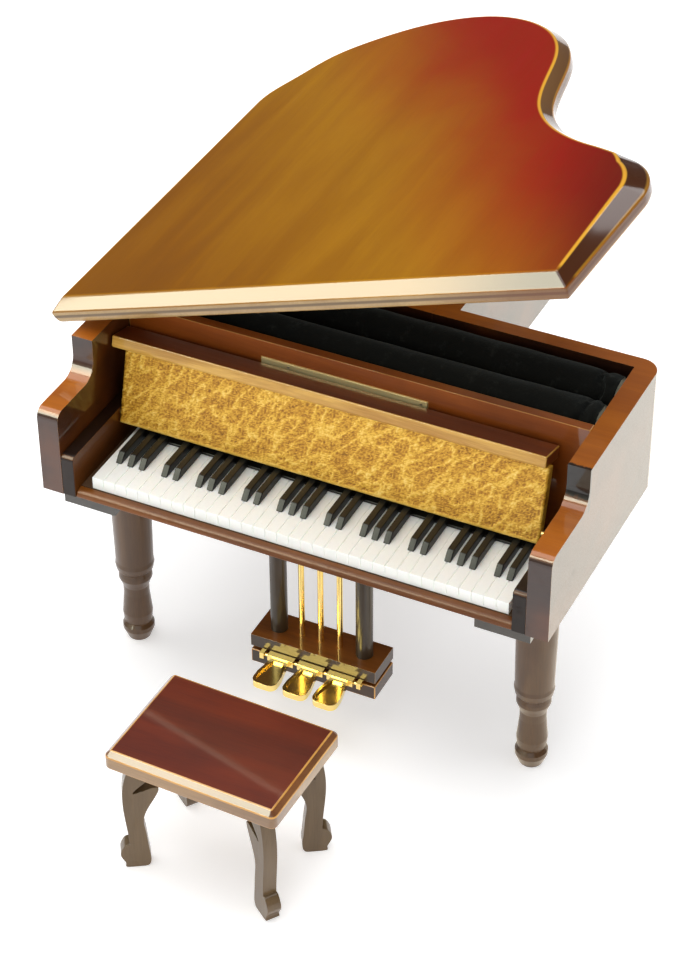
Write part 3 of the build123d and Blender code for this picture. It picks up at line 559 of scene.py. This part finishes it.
cut_foam, m, shader = new_material("cut_foam")
place = m.node("TexCoord", out=3)
cells = m.node("TexNoise", {"Vector": place, "Scale": 1800.0, "Detail": 3.0})
wire(shader, Base_Color=cells.tint((0.62, 0.58, 0.42), (0.86, 0.82, 0.64)), Roughness=0.8 + cells * 0.15)


def stuffed(name, seed):
    """A tube of velvet over a foam roll: a little more cloth than the roll needs is blown out on it,
    ten times life size, so that it puckers between its two glued ends."""
    lo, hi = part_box(name)
    half, radius = (hi.x - lo.x) / 2, (hi.z - lo.z) / 2
    tube = bmesh.new()
    around_n, along_n, big = 44, 150, 10.0
    rows = []
    for i in range(along_n + 1):
        x = half * (2 * i / along_n - 1)
        end = min(1.0, (half - abs(x)) / (0.35 * radius))
        r = radius * 0.93 * (0.80 + 0.20 * (1 - (1 - end) ** 2) ** 0.5)
        row = []
        for k in range(around_n):
            turn = 2 * pi * k / around_n
            way = Vector((0, cos(turn), sin(turn)))
            crease = noise.noise(Vector((x * 90, 0, seed)) + way * 1.2) * 0.02
            row.append(tube.verts.new((Vector((x, 0, 0)) + way * r * (1 + crease)) * big))
        rows.append(row)
    for low, high in zip(rows, rows[1:]):
        for k in range(around_n):
            tube.faces.new((low[k - 1], low[k], high[k], high[k - 1])).smooth = True
    for row in (rows[0], rows[-1][::-1]):
        tube.faces.new(row)
    roll = add_mesh(name + "_velvet", tube, velvet, cut_foam)
    for polygon in roll.data.polygons:
        if abs(polygon.center.x) > half * big * 0.992:
            polygon.material_index = 1
    ends = roll.vertex_groups.new(name="glued")
    ends.add([v.index for v in roll.data.vertices if abs(v.co.x) > half * big * 0.985], 1.0, "REPLACE")
    start = [v.co.copy() for v in roll.data.vertices]
    cloth = roll.modifiers.new("cloth", "CLOTH")
    cloth.settings.quality = 6
    cloth.settings.mass = 0.25
    cloth.settings.use_pressure = True
    cloth.settings.uniform_pressure_force = 4.0
    cloth.settings.shrink_min = -0.05
    cloth.settings.vertex_group_mass = "glued"
    cloth.settings.effector_weights.gravity = 0.0
    cloth.collision_settings.use_collision = False
    for step in range(1, 17):
        scene.frame_set(step)
    blown = roll.evaluated_get(bpy.context.evaluated_depsgraph_get()).to_mesh()
    moved = [v.co.copy() for v in blown.vertices]
    roll.modifiers.remove(cloth)
    scene.frame_set(1)
    furthest = 0.0063 * big  # no point of the cloth is carried further than this
    for v, was, now in zip(roll.data.vertices, start, moved):
        shift = now - was
        if shift.length > furthest:
            shift *= furthest / shift.length
        v.co = was + shift
        out = (v.co.y**2 + v.co.z**2) ** 0.5
        limit = (radius + 0.0002) * big
        if out > limit:
            v.co.y *= limit / out
            v.co.z *= limit / out
    for v in roll.data.vertices:
        v.co /= big
    roll.location = (lo + hi) / 2
    fuller = roll.modifiers.new("fuller", "SUBSURF")
    fuller.levels = fuller.render_levels = 1
    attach(roll, "case")
    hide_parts(name)


stuffed("ring_roll_front", 3.0)
stuffed("ring_roll_rear", 8.0)

# the lining is one sheet of velvet laid in the tail, square at the front and round behind
lo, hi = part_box("tail_lining")
half_w = (hi.x - lo.x) / 2
round_y = hi.y - half_w
lining_mesh = bmesh.new()
rows = []
across_n, deep_n = 40, 56
for j in range(deep_n + 1):
    y = lo.y + (hi.y - lo.y - 0.0002) * sin(pi / 2 * j / deep_n)
    wide = half_w if y < round_y else max(0.0, half_w**2 - (y - round_y) ** 2) ** 0.5
    row = []
    for i in range(across_n + 1):
        x = wide * (2 * i / across_n - 1)
        swell = noise.noise(Vector((x * 60, y * 60, 2.0))) * 0.5 + 0.5
        row.append(lining_mesh.verts.new(((lo.x + hi.x) / 2 + x, y, lo.z + 0.0003 + 0.0005 * swell)))
    rows.append(row)
for low, high in zip(rows, rows[1:]):
    for i in range(across_n):
        lining_mesh.faces.new((low[i], low[i + 1], high[i + 1], high[i])).smooth = True
lining = add_mesh("tail_velvet", lining_mesh, velvet)
body = lining.modifiers.new("body", "SOLIDIFY")
body.thickness = 0.0003
body.offset = -1
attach(lining, "case")
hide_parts("tail_lining")
strip_brass, m, shader = new_material("pale_brass")
place = m.node("TexCoord", out=3)
brushed = m.node("Mapping", {"Vector": place, "Scale": (40.0, 2500.0, 2500.0)})
lines = m.node("TexNoise", {"Vector": brushed, "Scale": 1.0, "Detail": 3.0})
wire(shader, Base_Color=lines.tint((0.56, 0.47, 0.25), (0.72, 0.64, 0.40)), Metallic=0.85)
wire(shader, Roughness=0.45 + lines * 0.15)
dress("brass_strip", strip_brass)
ease(nodes["brass_strip"], 0.15)
dress("strip_pins", screw_steel)

# ---- Keyboard
# White keys are one moulded strip with grooves between the keys; black keys are one moulded comb.
white_plastic, m, shader = new_material("white_plastic")
place = m.node("TexCoord", out=3)
tone = m.node("TexNoise", {"Vector": place, "Scale": 55.0, "Detail": 3.0})
specks = m.node("TexNoise", {"Vector": place, "Scale": 900.0, "Detail": 2.0}).step(0.6, 0.8)
ivory = tone.tint((0.93, 0.96, 0.91), (0.97, 0.98, 0.95))
wire(shader, Base_Color=(specks * 0.2).tint(ivory, (0.7, 0.75, 0.7)), Roughness=0.3 + tone * 0.1)
wire(shader, Subsurface_Weight=0.05, Subsurface_Scale=0.002)
black_plastic, m, shader = new_material("black_plastic")
place = m.node("TexCoord", out=3)
tone = m.node("TexNoise", {"Vector": place, "Scale": 300.0, "Detail": 3.0})
wire(shader, Base_Color=tone.tint((0.002, 0.002, 0.002), (0.006, 0.006, 0.005)), Roughness=0.35 + tone * 0.2)
wire(shader, Specular_IOR_Level=0.3)
dress("white_keys", white_plastic, white_plastic)
ease(nodes["white_keys"], 0.16)
dress("black_keys", black_plastic, black_plastic)
ease(nodes["black_keys"], 0.35, segments=3)

# ---- Fallboard
# A board faced with crinkled gold foil under a dark rail, leaning back on two brass pins.
gold_foil, m, shader = new_material("gold_foil")
place = m.node("TexCoord", out=3)
lift = m.node("Attribute", attribute_name="lift", out=2)
crumple = m.node("TexNoise", {"Vector": place, "Scale": 900.0, "Detail": 4.0, "Roughness": 0.7})
# painted shading and painted highlight: the gold colour is dark in the low creases and bright on the raised
# folds
relief = lift * 0.75 + crumple * 0.25
foil = relief.ramp(
    (0.12, (0.16, 0.055, 0.003)),
    (0.36, (0.50, 0.23, 0.016)),
    (0.58, (0.78, 0.46, 0.055)),
    (0.9, (1.0, 0.78, 0.26)),
)
bump = m.node("Bump", {"Strength": 0.35, "Distance": 0.0003, "Height": crumple})
wire(shader, Base_Color=foil, Metallic=0.2, Roughness=0.42 - relief * 0.12, Normal=bump)
wire(shader, Specular_IOR_Level=0.35)
LEAN = radians(14.5)
pivot = at(0, 29.3, 87.5)
lo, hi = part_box("fallboard_panel")
foil_l, foil_r, FOIL_LOW, FOIL_HIGH, FOIL_T = lo.x, hi.x, -0.0032, 0.0210, 0.0016
panel_turn = Matrix.Translation(pivot) @ Matrix.Rotation(-LEAN, 4, "X")


def crinkle(x, u):
    """Height of the foil at x across and u up the board, in mm: short wrinkles and long slanting folds."""
    slant = Vector((x * 0.62 + u * 0.78, (u * 0.62 - x * 0.78) * 2.6, 0))
    folds = 1 - abs(noise.noise(slant * 0.11 + Vector((7, 3, 1)))) * 2.4
    bits = 1 - abs(noise.noise(Vector((x * 0.9, u * 1.5, 4)))) * 2.0
    small = noise.noise(Vector((x * 2.1, u * 2.6, 9)))
    return 0.34 * max(0.0, folds) ** 3 + 0.42 * max(0.0, bits) ** 1.5 + 0.24 * (0.5 + small)


foil_mesh = bmesh.new()
lift_layer = foil_mesh.verts.layers.float.new("lift")
foil_nx, foil_nu = 380, 68
rows = []
for j in range(foil_nu + 1):
    u = FOIL_LOW + (FOIL_HIGH - FOIL_LOW) * j / foil_nu
    row = []
    for i in range(foil_nx + 1):
        x = foil_l + (foil_r - foil_l) * i / foil_nx
        rim_in = min(u - FOIL_LOW, x - foil_l, foil_r - x) / MM
        height = crinkle((x - foil_l) / MM, u / MM)
        height += (0.75 - height) * max(0.0, 1 - (u - FOIL_LOW) / MM / 1.1) ** 0.5
        sunk = 0.35 * max(0.0, 1 - rim_in / 0.6) ** 2
        out = FOIL_T + (height * 0.42 - 0.36 - sunk) * MM
        v = foil_mesh.verts.new(panel_turn @ Vector((x - pivot.x, -out, u)))
        v[lift_layer] = height
        row.append(v)
    rows.append(row)
for low, high in zip(rows, rows[1:]):
    for i in range(foil_nx):
        foil_mesh.faces.new((low[i], low[i + 1], high[i + 1], high[i])).smooth = True
border = rows[0] + [r[-1] for r in rows[1:]] + rows[-1][-2::-1] + [r[0] for r in rows[-2:0:-1]]
behind = []
for v in border:
    flat = panel_turn.inverted() @ v.co
    b = foil_mesh.verts.new(panel_turn @ Vector((flat.x, FOIL_T, flat.z)))
    b[lift_layer] = 0.4
    behind.append(b)
for k in range(len(border)):
    foil_mesh.faces.new((border[k - 1], behind[k - 1], behind[k], border[k]))
foil_mesh.faces.new(behind)
foil_panel = add_mesh("fallboard_foil", foil_mesh, gold_foil)
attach(foil_panel, "fallboard")
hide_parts("fallboard_panel")
rail_stain = lacquered(
    "rail_stain", (0.10, 0.014, 0.001), (0.22, 0.045, 0.002), along="X", broad=12.0, blotch=0.3, coat=0.6
)
gilt_edge = lacquered(
    "gilt_edge", (0.42, 0.19, 0.02), (0.78, 0.46, 0.09), along="X", broad=30.0, rough=0.3, coat=0.6
)
dress("fallboard_rail", rail_stain, gilt_edge)
for polygon in nodes["fallboard_rail"].data.polygons:
    if polygon.normal.y < -0.8:
        polygon.material_index = 1
ease(nodes["fallboard_rail"], 0.4, gilt_edge)
dress("fallboard_pin_left fallboard_pin_right", hinge_brass)

# ---- Legs
# Three turned legs, each doweled up into a plate screwed under the case; brown lacquer over beech.
leg_stain = lacquered(
    "leg_stain", (0.060, 0.027, 0.009), (0.115, 0.055, 0.019), along="Z", broad=12.0, coat=0.5
)
plate_stain = lacquered("plate_stain", (0.020, 0.015, 0.010), (0.04, 0.03, 0.02), along="Y")
for place_name in ("left", "right", "rear"):
    dress([f"leg_{place_name}"], leg_stain)
    dress([f"leg_dowel_{place_name}"], board)
    dress([f"leg_plate_{place_name}"], plate_stain, plate_stain)
    ease(nodes[f"leg_plate_{place_name}"], 0.4)

# ---- Lyre and pedals
# Two round posts carry the pedal box; three brass rods stand between them and three brass pedals
# turn on one axle in front of the box.
polished_brass, m, shader = new_material("polished_brass")
place = m.node("TexCoord", out=3)
smear = m.node("TexNoise", {"Vector": place, "Scale": 320.0, "Detail": 4.0, "Distortion": 0.6})
wire(shader, Base_Color=smear.tint((0.86, 0.60, 0.16), (0.93, 0.74, 0.32)), Metallic=1.0)
wire(shader, Roughness=0.10 + smear * 0.10)
# painted shading: the upright faces of the pedal box are painted darker than its top
box_stain = lacquered(
    "box_stain",
    (0.16, 0.045, 0.006),
    (0.34, 0.105, 0.010),
    along="X",
    broad=14.0,
    blotch=0.4,
    coat=0.5,
    upright_shading=(0.022, 0.011, 0.005),
)
post_stain = lacquered("post_stain", (0.018, 0.011, 0.005), (0.046, 0.026, 0.011), along="Z", coat=0.45)
dress("lyre_post_left lyre_post_right", post_stain)
dress("pedal_rod_left pedal_rod_middle pedal_rod_right", polished_brass)
dress("pedal_axle axle_eye_left axle_eye_right", polished_brass)
dress("pedal_left pedal_middle pedal_right", polished_brass, polished_brass)
for name in ("pedal_left", "pedal_middle", "pedal_right"):
    ease(nodes[name], 0.3, segments=3)
dress("pedal_box_upper pedal_box_lower", box_stain, worn_edge_highlight)
for name in ("pedal_box_upper", "pedal_box_lower"):
    ease(nodes[name], 0.3, worn_edge_highlight)

# ---- Stool
# A bevelled seat board on four sawn cabriole legs set on its diagonals.
# painted light: the upright faces of the seat are painted a lighter amber than its top
seat_stain = lacquered(
    "seat_stain",
    (0.085, 0.007, 0.0005),
    (0.17, 0.018, 0.001),
    along="X",
    broad=10.0,
    blotch=0.4,
    upright_shading=(0.20, 0.11, 0.04),
)
stool_stain = lacquered("stool_stain", (0.085, 0.050, 0.021), (0.15, 0.095, 0.044), along="Z", coat=0.45)
dress("stool_seat", seat_stain, worn_edge_highlight)
ease(nodes["stool_seat"], 0.35, worn_edge_highlight, angle=25)
for name in ("front_left", "front_right", "rear_left", "rear_right"):
    dress([f"stool_leg_{name}"], stool_stain, stool_stain)
    ease(nodes[f"stool_leg_{name}"], 0.35, angle=40)
